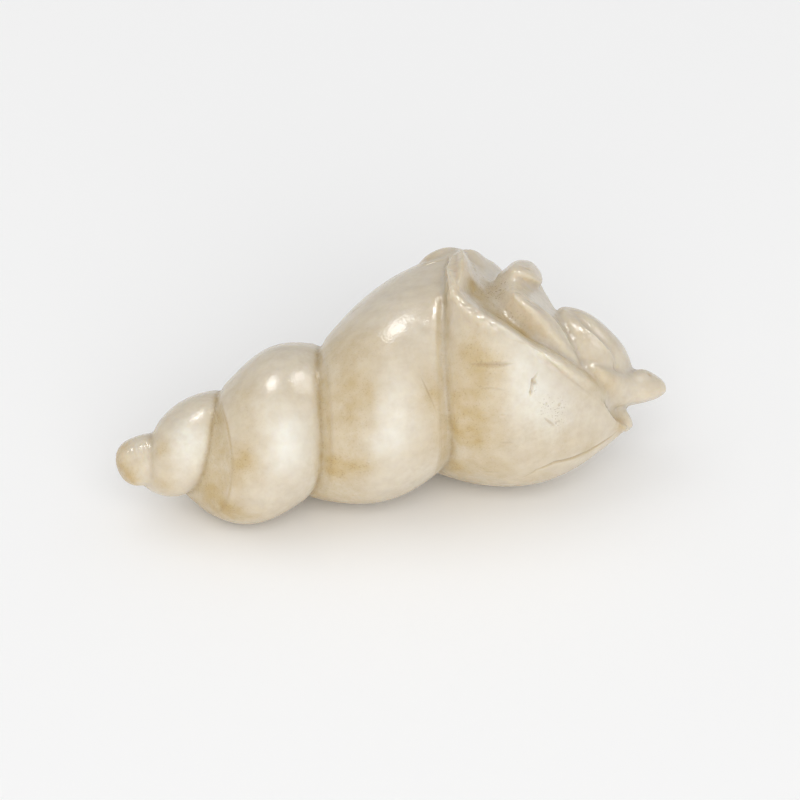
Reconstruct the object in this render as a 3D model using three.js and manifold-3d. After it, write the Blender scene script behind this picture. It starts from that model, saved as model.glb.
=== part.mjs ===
// Jade snail pendant: one pebble of pale jade carved as a snail in a tall spiral shell.
// The shell lies on its side with the apex at -X, and the animal looks out of the mouth at +X.
// Millimetres, +Z up. The origin is on the table under the middle of the carving.
import * as THREE from "three";
import { mergeVertices } from "three/addons/utils/BufferGeometryUtils.js";
import Module from "manifold-3d";

const wasm = await Module();
wasm.setup();

// The coil axis climbs towards the mouth. Round it, angle 0 is the far upper side, 90 the near
// upper side, 180 the near lower side and 270 the far lower side.
const axisRise = THREE.MathUtils.degToRad(8.2);
const angleZeroLean = THREE.MathUtils.degToRad(38.2); // how far angle 0 leans from the top to +Y
const tableCut = 0.25; // what the small flats take off the underside of the lowest whorls
const axisAnchor = new THREE.Vector3(-8.12, -0.753, 9.75 - tableCut); // the axis at along = 0
const tableBlock = [100, 100, 10]; // what is cut away under the table's plane

// The shell surface: columns go round the axis, and rows go from one turn of the groove to the next.
const columns = 48;
const rowsPerWhorl = 12;
const seamAngle = -6; // the coil opens at the crest, where the mouth's rim meets the groove
const seamTurn = -seamAngle / 360;
const whorls = 5;
const mouthRows = 6;
const weldGrid = 0.001; // points are rounded to this, so that the two sides of the seam agree

// The groove is one left-handed helix. Its turn count is whole at angle 0.
// Each knot is [turn, millimetres along the axis].
const grooveAlong = [
  [seamTurn, -21.6],
  [0.5, -19.4],
  [1, -16.9],
  [1.5, -15.0],
  [2, -8.8],
  [2.5, -2.85],
  [3, 2.8],
  [3.5, 11.2],
  [3.6, 12.3],
  [3.72, 13.0],
  [3.83, 14.6],
  [3.94, 17.3],
  [4 + seamTurn, 20.0],
];
// [turn, distance of the groove from the axis]
const grooveRadius = [
  [seamTurn, 0],
  [0.5, 2.3],
  [1, 3.6],
  [1.5, 3.7],
  [2, 6.0],
  [2.5, 7.5],
  [3, 7.6],
  [3.5, 8.7],
  [3.94, 11.5],
  [4 + seamTurn, 13.5],
];
// [turn at the middle of the whorl, how far the whorl stands above the line between its grooves]
const whorlBulge = [
  [seamTurn - 0.5, 0],
  [0, 1.2],
  [0.5, 1.5],
  [1, 0.6],
  [1.5, 1.1],
  [2, 3.3],
  [2.5, 1.95],
  [3, 2.1],
  [3.5, 1.75],
  [3.67, 2.6],
  [3.75, 3.6],
  [3.93, 4.8],
  [4, 3.9],
  [4.25, 1.7],
  [4.4, 0.4],
  [4.5 + seamTurn, 0],
];
// [turn at the middle of the whorl, power that moves the crest towards the apex when below 1]
const whorlWarp = [
  [-0.4, 0.5],
  [0.5, 0.55],
  [1, 0.9],
  [2, 0.75],
  [2.5, 1.1],
  [3, 1],
  [4, 0.92],
  [4.6, 1],
];
// [turn, how deep the channel along the groove is cut]
const grooveDepth = [
  [seamTurn, 0],
  [0.5, 0.2],
  [1, 0.35],
  [4, 0.35],
  [4 + seamTurn, 0],
];
const grooveHalfWidth = 0.6;
// Beside the channel a shallow scoop is ground into the shell: [turn, its width towards the mouth, or
// towards the apex when below 0, its depth]
const grooveScoop = [
  [1.4, 1.4, 0],
  [1.52, 1.9, 0.3],
  [1.69, 2.45, 0.4],
  [1.78, 1.95, 0.4],
  [1.87, 1, 0.25],
  [1.95, 0.5, 0],
  [2.5, 0.8, 0],
  [2.6, 0.9, 0.2],
  [2.85, 1.1, 0.2],
  [2.95, 0.8, 0],
  [3.5, -1.6, 0],
  [3.6, -1.6, 0.2],
  [3.7, -1.2, 0.25],
  [3.85, -0.9, 0.2],
  [3.95, -0.6, 0],
];
const apexLift = 0.028; // how fast the axis bends up to the apex knob
const apexLiftFrom = -15;

// The edge of the mouth's rim: [angle, along the axis, distance from the axis].
const mouthEdge = [
  [-6, 20.0, 13.5],
  [10, 19.8, 13.5],
  [34, 18.4, 13.2],
  [48.5, 17.1, 13.0],
  [63, 18.6, 13.2],
  [74, 20.7, 12.9],
  [84.5, 22.8, 12.0],
  [96, 24.8, 11.0],
  [112.7, 26.7, 10.0],
  [133, 29.1, 9.2],
  [155, 30.6, 10.0],
  [171, 32.0, 9.9],
  [205, 31.3, 7.2],
  [247, 29.5, 8.0],
  [276, 28.2, 9.3],
  [299, 27.0, 11.6],
  [323, 25.0, 13.1],
  [335.6, 23.4, 13.1],
  [348, 21.7, 13.5],
  [354, 20.0, 13.5],
];
const mouthCentre = [23, 7, 1.5]; // along, up, near: its middle
const mouthInward = [-0.35, -0.35, -0.87]; // the way into the shell
const mouthDepth = 3;
const mouthLip = 1.2; // above 1 the rim is broader before it drops into the mouth

// The forms in and around the mouth. A lobe follows three rails of points [along, up, near]: its edge
// on the near side, its ridge and its edge on the far side. `depth` is its thickness under the edges.
// `fullness` and `underside` are the powers of its section above and below them: round at 1, squarer
// below 1 and more pointed above it. It rounds off at both ends by the powers in `ends`.
const crest = {
  near: [
    [19.9, 13.2, -0.5], [18.1, 12.6, 3], [17.1, 11.1, 5.4], [16.5, 9.7, 7.6],
    [16.2, 8.3, 9.4], [16.9, 6.3, 10.6], [18.1, 4.6, 11.4], [19.7, 3.2, 11.7],
  ],
  ridge: [
    [20.6, 13.4, -0.6], [18.8, 13, 3.2], [17.9, 11.6, 5.8], [17.2, 10.2, 8.2],
    [16.9, 8.7, 9.9], [17.4, 7, 11.2], [18.5, 5.2, 12.1], [19.9, 3.5, 12.1],
  ],
  far: [
    [21.4, 12.6, -2], [19.8, 12, 1], [18.9, 10.8, 3.6], [18.3, 9.5, 5.8],
    [18.2, 8.2, 7.6], [18.6, 6.8, 9], [19.4, 5.4, 10.2], [20.5, 3.8, 11],
  ],
  depth: 1.6,
  fullness: 1,
  underside: 1,
  ends: [0.5, 0.4],
};
const hollow = {
  near: [
    [18.6, 10, 5], [18.8, 8, 6.8], [19.8, 5.6, 8.2], [21.4, 3.4, 9],
    [23.6, 1.4, 8.8], [26, -0.8, 7.8],
  ],
  ridge: [
    [19.9, 10.9, 2.2], [20.7, 9.2, 2.6], [21.7, 7.5, 3.4], [23.2, 5.6, 4.4],
    [25.2, 3.4, 5], [27, 1.2, 5],
  ],
  far: [
    [20.8, 12.4, -1.2], [22.4, 11.6, -3.6], [23.8, 10.6, -5.4], [25.2, 9.4, -6.4],
    [27, 7.6, -6.4], [28.2, 5, -5],
  ],
  depth: 3,
  fullness: 1.7,
  underside: 1,
  ends: [0.3, 0.5],
};
const foot = {
  near: [
    [17.6, 4, 8.4], [20.6, 2.6, 10.6], [24, -0.9, 10.6], [26.3, -3.6, 8.8],
    [29, -6.3, 6.4], [31, -9.4, 2.8],
  ],
  ridge: [
    [20, 4.6, 5.6], [22, 3.2, 7.8], [25, 0.6, 8.2], [27.4, -1.6, 6.6],
    [30.2, -4.4, 4.6], [31.6, -7.8, 1.6],
  ],
  far: [
    [23, 8, -6.2], [25.8, 4.6, -8.6], [27.6, 0.8, -8.4], [29.2, -2.8, -6.6],
    [30.8, -5.4, -3.6], [31.6, -8, -0.5],
  ],
  depth: 5,
  fullness: 1.1,
  underside: 1,
  ends: [0.6, 0.6],
};
const horn = {
  near: [
    [24.2, 10.5, 1.8], [23.6, 9.6, 2.8], [22.9, 8.4, 4.6], [22.8, 7.2, 6.4],
    [23.2, 6, 7.6], [24.3, 3.9, 8.6], [26.2, 0.4, 8.8], [28.1, -2.7, 7.2],
  ],
  ridge: [
    [25.7, 10.3, 1.4], [25, 9.1, 2.8], [24.2, 7.8, 4.8], [24, 6.8, 6.6],
    [24.6, 5.4, 7.6], [26, 3.6, 7.6], [27.1, 0.9, 7.6], [28.1, -2.7, 7],
  ],
  far: [
    [27.8, 9.7, -1.2], [28, 8.7, -1.6], [27.8, 7.7, -1.6], [27.9, 6.2, -0.8],
    [28.1, 4.5, 0.6], [28.6, 1.7, 2.2], [28.9, -0.3, 3.4], [28.3, -2.7, 6],
  ],
  depth: 3.5,
  fullness: 1.5,
  underside: 0.6,
  ends: [0.4, 1],
};
const knob = {
  near: [
    [23.4, 9.55, 2.6], [24.1, 9.05, 3.3], [25.4, 8.45, 3.2], [26.6, 7.65, 2.4],
    [27.3, 7.15, 1.6],
  ],
  ridge: [
    [23.8, 9.95, 2.2], [24.5, 10.05, 2.8], [25.5, 9.65, 2.8], [26.6, 9.05, 2.2],
    [27.5, 8.15, 1.2],
  ],
  far: [
    [24.4, 10.25, 0], [25.2, 10.55, -0.4], [26.2, 10.55, -0.8], [27.3, 10.05, -1],
    [28.1, 8.65, -1],
  ],
  depth: 1.8,
  fullness: 0.9,
  underside: 0.8,
  ends: [0.35, 0.35],
};
const innerFold = {
  near: [
    [28.4, 4.7, 0.6], [28, 3.6, 1.8], [28, 1.9, 3.2], [28.1, 0.1, 4.8],
    [28.3, -1.5, 5.8], [28.8, -3.4, 5.8],
  ],
  ridge: [
    [28.7, 4.3, 2.4], [28.9, 2.7, 4.2], [29.4, 1, 5.2], [29.9, -0.8, 5.8],
    [30.2, -2.5, 5.8], [30.6, -3.8, 5.2],
  ],
  far: [
    [29.5, 4, 1], [30.2, 2.1, 3], [31.2, 0.1, 3.8], [31.9, -1.8, 4.2],
    [32, -3, 4.2], [31.4, -4, 4.2],
  ],
  depth: 4,
  fullness: 0.9,
  underside: 0.6,
  ends: [0.4, 0.5],
};
const outerFold = {
  near: [
    [28.4, 4.3, 1.8], [30, 1.4, 4], [31.4, -1.4, 4.2], [32.2, -4.2, 3.8],
    [32.8, -6.6, 2.6],
  ],
  ridge: [
    [29.1, 5.3, 0], [31.2, 3.5, 0.3], [33.2, 0.4, 0.6], [34.5, -2.2, 0.6],
    [35, -5.1, 0.6],
  ],
  far: [
    [28, 3.8, -3.5], [29.8, 1, -5.6], [31.5, -1.9, -5.4], [32.7, -4.4, -4],
    [33.3, -6.6, -2],
  ],
  depth: 3,
  fullness: 1.2,
  underside: 1,
  ends: [0.45, 0.7],
};
const head = {
  near: [
    [27.6, -2.6, 7.4], [29.6, -5, 6.2], [31.4, -6.5, 4.4], [33.2, -6.7, 3.2],
    [35.3, -6.9, 2.8], [37.4, -6.9, 1.5],
  ],
  ridge: [
    [28, 0, 5.2], [30.2, -2.2, 5], [32, -3.6, 3.4], [33.6, -4.2, 1.8],
    [35.5, -3.9, 0.6], [37.3, -4.9, 0.3],
  ],
  far: [
    [27, -3, -3], [29.5, -5, -3.4], [31.4, -6.2, -3], [33.2, -6.4, -2.4],
    [35.3, -6.7, -2.2], [37.4, -6.7, -1.2],
  ],
  depth: 1.1,
  fullness: 1,
  underside: 1,
  ends: [0.5, 0.6],
};
const lipTongue = {
  near: [[29.4, -6.4, 2], [31.2, -8, 2.4], [32.4, -10, 1.8]],
  ridge: [[30.4, -6.3, 0.2], [32.3, -7.9, 0.4], [33, -9.7, 0.6]],
  far: [[29.4, -6.4, -2], [31.2, -8, -1.6], [32.4, -10, -0.6]],
  depth: 1.2,
  fullness: 1,
  underside: 1,
  ends: [0.6, 0.5],
};
const foldedLip = {
  near: [
    [14.6, 12.2, -1.2], [16.8, 13.2, -0.9], [19.4, 13.4, -1.4], [21.8, 12.6, -4.2],
    [24.4, 9.4, -7.8], [26.4, 4.8, -9.6], [28.3, -1, -9],
  ],
  ridge: [
    [14.6, 12.8, -3], [16.6, 13.8, -3.2], [18.4, 13.6, -4.6], [20.4, 11.6, -7.8],
    [23.2, 7.8, -10], [25.6, 3.6, -10.8], [27.8, -1, -9.8],
  ],
  far: [
    [14.9, 11.4, -5.5], [15.6, 11.4, -6.2], [17, 10.6, -7.2], [19.4, 8.6, -9],
    [22, 5.4, -10.4], [24.6, 2, -10.8], [26.8, -0.8, -9.8],
  ],
  depth: 1.8,
  fullness: 1,
  underside: 1,
  ends: [0.5, 0.8],
};
const lobeSides = 16;
const lobeSteps = 12;
const railStep = 0.01; // how far ahead a rail is read for its direction

const jadeColour = 0xd8ccb6;
const jadeRoughness = 0.35;

const axisDirection = new THREE.Vector3(Math.cos(axisRise), 0, Math.sin(axisRise));
const acrossUp = new THREE.Vector3(-Math.sin(axisRise), 0, Math.cos(axisRise))
  .multiplyScalar(Math.cos(angleZeroLean))
  .add(new THREE.Vector3(0, Math.sin(angleZeroLean), 0));
const acrossNear = new THREE.Vector3().crossVectors(axisDirection, acrossUp);

// A point of the carving from its distance along the axis, up from it and towards the near side.
function place(along, up, near) {
  return axisAnchor
    .clone()
    .addScaledVector(axisDirection, along)
    .addScaledVector(acrossUp, up)
    .addScaledVector(acrossNear, near);
}

// A smooth curve through knots [x, y, ...], read at x: value number `pick` of each knot.
function through(knots, x, pick = 1) {
  const last = knots.length - 1;
  if (x <= knots[0][0]) return knots[0][pick];
  if (x >= knots[last][0]) return knots[last][pick];
  const i = knots.findIndex((knot) => knot[0] > x) - 1;
  const slope = (a, b) => (knots[b][pick] - knots[a][pick]) / (knots[b][0] - knots[a][0]);
  const slopeIn = slope(Math.max(i - 1, 0), i + 1);
  const slopeOut = slope(i, Math.min(i + 2, last));
  const width = knots[i + 1][0] - knots[i][0];
  const t = (x - knots[i][0]) / width;
  return (
    knots[i][pick] * (1 + 2 * t) * (1 - t) ** 2 +
    knots[i + 1][pick] * t * t * (3 - 2 * t) +
    slopeIn * width * t * (1 - t) ** 2 -
    slopeOut * width * t * t * (1 - t)
  );
}

// How far the axis itself stands up at the apex knob.
function axisUp(along) {
  return along < apexLiftFrom ? apexLift * (along - apexLiftFrom) ** 2 : 0;
}

// How deep the shell is cut at a distance from the groove, counted towards the mouth.
function grooveCut(turn, distance) {
  const channel = through(grooveDepth, turn) * Math.exp(-((distance / grooveHalfWidth) ** 2));
  const share = distance / through(grooveScoop, turn);
  const inScoop = share > 0 && share < 1;
  return inScoop ? channel + through(grooveScoop, turn, 2) * Math.sin(Math.PI * share) : channel;
}

// A point of the shell: `row` counts whorls from the apex, `angle` is in degrees from the seam.
function shellPoint(row, angle) {
  const whorl = Math.min(Math.floor(row), whorls - 1);
  const share = row - whorl;
  const turn = whorl - angle / 360;
  const middle = turn + 0.5;
  const isLast = whorl === whorls - 1;
  const startAlong = through(grooveAlong, turn);
  const startRadius = through(grooveRadius, turn);
  const endAlong = isLast ? through(mouthEdge, angle) : through(grooveAlong, turn + 1);
  const endRadius = isLast ? through(mouthEdge, angle, 2) : through(grooveRadius, turn + 1);
  const along = THREE.MathUtils.lerp(startAlong, endAlong, share);
  const bulge = Math.sin(Math.PI * share ** through(whorlWarp, middle)) * through(whorlBulge, middle);
  const base = THREE.MathUtils.lerp(startRadius, endRadius, share);
  const endCut = isLast ? 0 : grooveCut(turn + 1, along - endAlong);
  const radius = Math.max(0, base + bulge - grooveCut(turn, along - startAlong) - endCut);
  const radians = THREE.MathUtils.degToRad(angle);
  return place(along, axisUp(along) + radius * Math.cos(radians), radius * Math.sin(radians));
}

// The mouth, a bowl with a rounded rim, from the edge at share 0 to its deepest point at share 1.
function mouthPoint(share, angle) {
  const depth = (mouthDepth * (1 - Math.cos(Math.PI * share ** mouthLip))) / 2;
  const centre = place(...mouthCentre);
  const sunk = place(...mouthCentre.map((value, k) => value + mouthInward[k] * depth)).sub(centre);
  return shellPoint(whorls, angle).lerp(centre, share).add(sunk);
}

// The whole shell as one closed surface. A column's end is the next whorl's start, so the
// two sides of the seam meet point for point and are merged.
function shellGeometry() {
  const rows = whorls * rowsPerWhorl;
  const sheet = new THREE.PlaneGeometry(1, 1, columns, rows + mouthRows);
  const position = sheet.attributes.position;
  for (let i = 0; i < position.count; i++) {
    const column = i % (columns + 1);
    const row = Math.floor(i / (columns + 1));
    const angle = seamAngle + 360 * (1 - column / columns);
    const inWhorl = (row % rowsPerWhorl) / rowsPerWhorl;
    const eased = (1 - Math.cos(Math.PI * inWhorl)) / 2;
    const point =
      row < rows
        ? shellPoint(Math.floor(row / rowsPerWhorl) + eased, angle)
        : mouthPoint((row - rows) / mouthRows, angle);
    point.divideScalar(weldGrid).round().multiplyScalar(weldGrid);
    position.setXYZ(i, point.x, point.y, point.z);
  }
  return splitQuads(sheet);
}

// Each four-sided cell of a grid is cut along its shorter diagonal.
function splitQuads(sheet) {
  const index = sheet.index;
  const corner = (n) => new THREE.Vector3().fromBufferAttribute(sheet.attributes.position, n);
  for (let i = 0; i < index.count; i += 6) {
    const [a, b, d] = [index.getX(i), index.getX(i + 1), index.getX(i + 2)];
    const c = index.getX(i + 4);
    if (corner(a).distanceTo(corner(c)) < corner(b).distanceTo(corner(d))) {
      [a, b, c, a, c, d].forEach((n, k) => index.setX(i + k, n));
    }
  }
  return sheet;
}

// A lobe: a sphere whose rings are laid across its three rails.
function lobeGeometry({ near, ridge, far, depth, fullness, underside, ends }) {
  const rail = (points) => new THREE.CatmullRomCurve3(points.map((point) => new THREE.Vector3(...point)));
  const rails = [near, ridge, far].map(rail);
  const ball = new THREE.SphereGeometry(1, lobeSides, lobeSteps);
  const position = ball.attributes.position;
  for (let i = 0; i < position.count; i++) {
    const column = (i % (lobeSides + 1)) % lobeSides;
    const latitude = (Math.PI * Math.floor(i / (lobeSides + 1))) / lobeSteps;
    const share = (1 - Math.cos(latitude)) / 2;
    const [nearEdge, crown, farEdge] = rails.map((curve) => curve.getPoint(share));
    const middle = nearEdge.clone().lerp(farEdge, 0.5);
    const step = share < 0.5 ? railStep : -railStep;
    const ahead = rails[0].getPoint(share + step).lerp(rails[2].getPoint(share + step), 0.5);
    const forward = ahead.sub(middle).divideScalar(step);
    const down = forward.cross(nearEdge.clone().sub(farEdge)).setLength(depth);
    const angle = (2 * Math.PI * column) / lobeSides;
    const upper = Math.sin(angle) > 0;
    const power = upper ? fullness : underside;
    const edge = Math.cos(angle) > 0 ? nearEdge : farEdge;
    const offset = edge.clone().sub(middle).multiplyScalar(Math.abs(Math.cos(angle)) ** power);
    const over = upper ? crown.clone().sub(middle) : down;
    offset.addScaledVector(over, Math.abs(Math.sin(angle)) ** power);
    const taper = Math.max(0, Math.sin(latitude)) ** THREE.MathUtils.lerp(ends[0], ends[1], share);
    const point = place(...middle.addScaledVector(offset, taper).toArray());
    point.divideScalar(weldGrid).round().multiplyScalar(weldGrid);
    position.setXYZ(i, point.x, point.y, point.z);
  }
  return ball;
}

// A closed three.js geometry as a solid: shared points merged, collapsed faces dropped.
function solidOf(geometry) {
  geometry.deleteAttribute("normal");
  geometry.deleteAttribute("uv");
  const merged = mergeVertices(geometry, 1e-4);
  const index = merged.index.array;
  const faces = [];
  for (let i = 0; i < index.length; i += 3) {
    const [a, b, c] = index.slice(i, i + 3);
    if (a !== b && b !== c && c !== a) faces.push(a, b, c);
  }
  const mesh = new wasm.Mesh({
    numProp: 3,
    vertProperties: Float32Array.from(merged.attributes.position.array),
    triVerts: Uint32Array.from(faces),
  });
  return new wasm.Manifold(mesh);
}

function meshOf(name, solid) {
  const { vertProperties, triVerts } = solid.getMesh();
  const geometry = new THREE.BufferGeometry();
  geometry.setAttribute("position", new THREE.BufferAttribute(vertProperties, 3));
  geometry.setIndex(new THREE.BufferAttribute(triVerts, 1));
  geometry.computeVertexNormals();
  const jade = new THREE.MeshStandardMaterial({ color: jadeColour, roughness: jadeRoughness, metalness: 0 });
  const mesh = new THREE.Mesh(geometry, jade);
  mesh.name = name;
  return mesh;
}

const group = new THREE.Group();
const forms = [crest, hollow, foot, horn, knob, innerFold, outerFold, head, lipTongue, foldedLip];
const shell = solidOf(shellGeometry());
const snail = forms.reduce((solid, form) => solid.add(solidOf(lobeGeometry(form))), shell);
const belowTable = new THREE.BoxGeometry(...tableBlock).translate(0, 0, -tableBlock[2] / 2);
const carving = snail.subtract(solidOf(belowTable));
group.add(meshOf("snail_carving", carving));

export default group;
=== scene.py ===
# Jade snail pendant, one pebble of pale jade carved in the round, lying on a pale studio floor.
import functools
import math

import bmesh
import bpy
import numpy as np
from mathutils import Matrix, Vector, noise
from mathutils.bvhtree import BVHTree


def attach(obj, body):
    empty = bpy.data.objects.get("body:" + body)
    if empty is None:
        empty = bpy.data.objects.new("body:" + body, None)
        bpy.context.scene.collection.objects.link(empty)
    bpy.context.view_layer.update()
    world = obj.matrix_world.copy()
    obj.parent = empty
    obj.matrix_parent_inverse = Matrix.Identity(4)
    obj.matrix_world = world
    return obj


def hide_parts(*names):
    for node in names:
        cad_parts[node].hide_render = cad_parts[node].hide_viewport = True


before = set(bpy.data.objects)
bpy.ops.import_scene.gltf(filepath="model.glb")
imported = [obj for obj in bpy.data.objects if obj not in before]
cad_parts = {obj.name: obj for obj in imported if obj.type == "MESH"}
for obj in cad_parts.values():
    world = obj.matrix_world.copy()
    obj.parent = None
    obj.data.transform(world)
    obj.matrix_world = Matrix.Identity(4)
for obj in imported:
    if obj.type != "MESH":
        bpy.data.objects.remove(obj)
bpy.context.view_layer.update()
mm = 0.001


def toLinear(hexColour):
    # sRGB hex to the linear colour that Blender's sockets take
    channels = [int(hexColour[i : i + 2], 16) / 255 for i in (1, 3, 5)]
    return [c / 12.92 if c <= 0.04045 else ((c + 0.055) / 1.055) ** 2.4 for c in channels] + [1.0]


# Camera: the photograph looks down on the near side from the left of straight on.
view = {
    "azimuth": -15.5,  # degrees, from straight in front towards the apex
    "elevation": 36.0,
    "distance": 450.0,  # mm
    "aim": (1.201, -0.847, 10.476),  # the point in the middle of the picture, mm
    "pixelsPerMm": 9.4,  # at the aim point, in a picture 800 pixels wide
    "pictureWidth": 800,
    "sensorWidth": 36.0,
    "clipStart": 0.01,  # m
}


def makeCamera(v):
    azimuth, elevation = math.radians(v["azimuth"]), math.radians(v["elevation"])
    level = math.cos(elevation)
    back = Vector((math.sin(azimuth) * level, -math.cos(azimuth) * level, math.sin(elevation)))
    data = bpy.data.cameras.new("camera")
    data.sensor_width = v["sensorWidth"]
    data.lens = v["sensorWidth"] * v["pixelsPerMm"] * v["distance"] / v["pictureWidth"]
    data.clip_start = v["clipStart"]
    camera = bpy.data.objects.new("camera", data)
    camera.location = (Vector(v["aim"]) + back * v["distance"]) * mm
    camera.rotation_euler = back.to_track_quat("Z", "Y").to_euler()
    bpy.context.scene.collection.objects.link(camera)
    bpy.context.scene.camera = camera


makeCamera(view)

# The coil axis climbs towards the mouth. Every point of the carving is given as along the axis,
# up from it (angle 0) and towards the near side (angle 90), in mm.
coil = {
    "rise": 8.2,  # degrees
    "lean": 38.2,  # how far angle 0 leans from the top to the far side
    "anchor": (-8.12, -0.753, 9.5),
    "seamAngle": -6,
    "whorls": 5,
    # [turn, along the axis]: the groove is one left-handed helix, its turn whole at angle 0
    "grooveAlong": [
        [1 / 60, -21.6], [0.5, -19.4], [1, -16.9], [1.5, -15.0], [2, -8.8], [2.5, -2.85], [3, 2.8],
        [3.5, 11.2], [3.6, 12.3], [3.72, 13.0], [3.83, 14.6], [3.94, 17.3], [4 + 1 / 60, 20.0],
    ],
    # [turn, distance from the axis]
    "grooveRadius": [
        [1 / 60, 0], [0.5, 2.3], [1, 3.6], [1.5, 3.7], [2, 6.0], [2.5, 7.5], [3, 7.6], [3.5, 8.7],
        [3.94, 11.5], [4 + 1 / 60, 13.5],
    ],
    # [turn at a whorl's middle, how far it stands above the line between its grooves]
    "bulge": [
        [1 / 60 - 0.5, 0], [0, 1.2], [0.5, 1.5], [1, 0.6], [1.5, 1.1], [2, 3.3], [2.5, 1.95], [3, 2.1],
        [3.5, 1.75], [3.67, 2.6], [3.75, 3.6], [3.93, 4.8], [4, 3.9], [4.25, 1.7], [4.4, 0.4],
        [4.5 + 1 / 60, 0],
    ],
    # [turn at a whorl's middle, power that moves its crest towards the apex when below 1]
    "warp": [[-0.4, 0.5], [0.5, 0.55], [1, 0.9], [2, 0.75], [2.5, 1.1], [3, 1], [4, 0.92], [4.6, 1]],
    "grooveDepth": [[1 / 60, 0], [0.5, 0.2], [1, 0.3], [4, 0.3], [4 + 1 / 60, 0]],
    "grooveHalfWidth": 0.5,
    # a shallow scoop beside the channel: [turn, its width, which is below 0 towards the apex, its depth]
    "grooveScoop": [
        [1.4, 1.4, 0], [1.52, 1.9, 0.3], [1.69, 2.45, 0.4], [1.78, 1.95, 0.4], [1.87, 1, 0.25],
        [1.95, 0.5, 0], [2.5, 0.8, 0], [2.6, 0.9, 0.2], [2.85, 1.1, 0.2], [2.95, 0.8, 0], [3.5, -1.6, 0],
        [3.6, -1.6, 0.2], [3.7, -1.2, 0.25], [3.85, -0.9, 0.2], [3.95, -0.6, 0],
    ],
    "apexLift": 0.028,
    "apexLiftFrom": -15,
    # [angle, along, distance from the axis]: the inner edge of the mouth's rim
    "mouthEdge": [
        [-6, 20.0, 13.5], [10, 19.8, 13.5], [34, 18.4, 13.2], [48.5, 17.1, 13.0], [63, 18.6, 13.2],
        [74, 20.7, 12.9], [84.5, 22.8, 12.0], [96, 24.8, 11.0], [112.7, 26.7, 10.0], [133, 29.1, 9.2],
        [155, 30.6, 10.0], [171, 32.0, 9.9], [205, 31.3, 7.2], [247, 29.5, 8.0], [276, 28.2, 9.3],
        [299, 27.0, 11.6], [323, 25.0, 13.1], [335.6, 23.4, 13.1], [348, 21.7, 13.5], [354, 20.0, 13.5],
    ],
    "mouthCentre": (23.0, 7.0, 1.5),
    "mouthInward": (-0.35, -0.35, -0.87),
    "mouthDepth": 3.0,
    "mouthLip": 1.2,
    "columns": 288,
    "rowsPerWhorl": 56,
    "mouthRows": 28,
}

coilRise, coilLean = math.radians(coil["rise"]), math.radians(coil["lean"])
alongWay = Vector((math.cos(coilRise), 0, math.sin(coilRise)))
upWay = Vector((-math.sin(coilRise), 0, math.cos(coilRise))) * math.cos(coilLean)
upWay += Vector((0, math.sin(coilLean), 0))
nearWay = alongWay.cross(upWay)
coilAnchor = Vector(coil["anchor"])


def place(along, up, near):
    return coilAnchor + alongWay * along + upWay * up + nearWay * near


def through(knots, x, pick=1):
    # a smooth curve through knots [x, y, ...], read at x
    last = len(knots) - 1
    if x <= knots[0][0]:
        return knots[0][pick]
    if x >= knots[last][0]:
        return knots[last][pick]
    i = next(k for k in range(last + 1) if knots[k][0] > x) - 1

    def slope(a, b):
        return (knots[b][pick] - knots[a][pick]) / (knots[b][0] - knots[a][0])

    slopeIn, slopeOut = slope(max(i - 1, 0), i + 1), slope(i, min(i + 2, last))
    width = knots[i + 1][0] - knots[i][0]
    t = (x - knots[i][0]) / width
    return (
        knots[i][pick] * (1 + 2 * t) * (1 - t) ** 2
        + knots[i + 1][pick] * t * t * (3 - 2 * t)
        + slopeIn * width * t * (1 - t) ** 2
        - slopeOut * width * t * t * (1 - t)
    )


def grooveCut(turn, distance):
    # how deep the shell is cut at a distance from the groove, counted towards the mouth
    channel = through(coil["grooveDepth"], turn) * math.exp(-((distance / coil["grooveHalfWidth"]) ** 2))
    width = through(coil["grooveScoop"], turn)
    if distance * width <= 0 or abs(distance) >= abs(width):
        return channel
    return channel + through(coil["grooveScoop"], turn, 2) * math.sin(math.pi * distance / width)


def shellPoint(row, angle):
    # row counts whorls from the apex, angle is in degrees round the axis
    whorl = min(int(row), coil["whorls"] - 1)
    share = row - whorl
    turn = whorl - angle / 360
    isLast = whorl == coil["whorls"] - 1
    startAlong, startRadius = through(coil["grooveAlong"], turn), through(coil["grooveRadius"], turn)
    if isLast:
        endAlong, endRadius = through(coil["mouthEdge"], angle), through(coil["mouthEdge"], angle, 2)
    else:
        endAlong = through(coil["grooveAlong"], turn + 1)
        endRadius = through(coil["grooveRadius"], turn + 1)
    along = startAlong + (endAlong - startAlong) * share
    warpedShare = share ** through(coil["warp"], turn + 0.5)
    bulge = math.sin(math.pi * warpedShare) * through(coil["bulge"], turn + 0.5)
    cut = grooveCut(turn, along - startAlong)
    if not isLast:
        cut += grooveCut(turn + 1, along - endAlong)
    radius = max(0, startRadius + (endRadius - startRadius) * share + bulge - cut)
    lift = coil["apexLift"] * min(0, along - coil["apexLiftFrom"]) ** 2
    turned = math.radians(angle)
    return place(along, lift + radius * math.cos(turned), radius * math.sin(turned))


mouthCentre = place(*coil["mouthCentre"])
mouthInward = place(*coil["mouthInward"]) - coilAnchor


def mouthPoint(share, angle):
    # a bowl with a rounded lip, from the rim at share 0 to its deepest point at share 1
    depth = coil["mouthDepth"] * (1 - math.cos(math.pi * share ** coil["mouthLip"])) / 2
    return shellPoint(coil["whorls"], angle).lerp(mouthCentre, share) + mouthInward * depth


weldDistance = 0.0005  # mm


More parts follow.
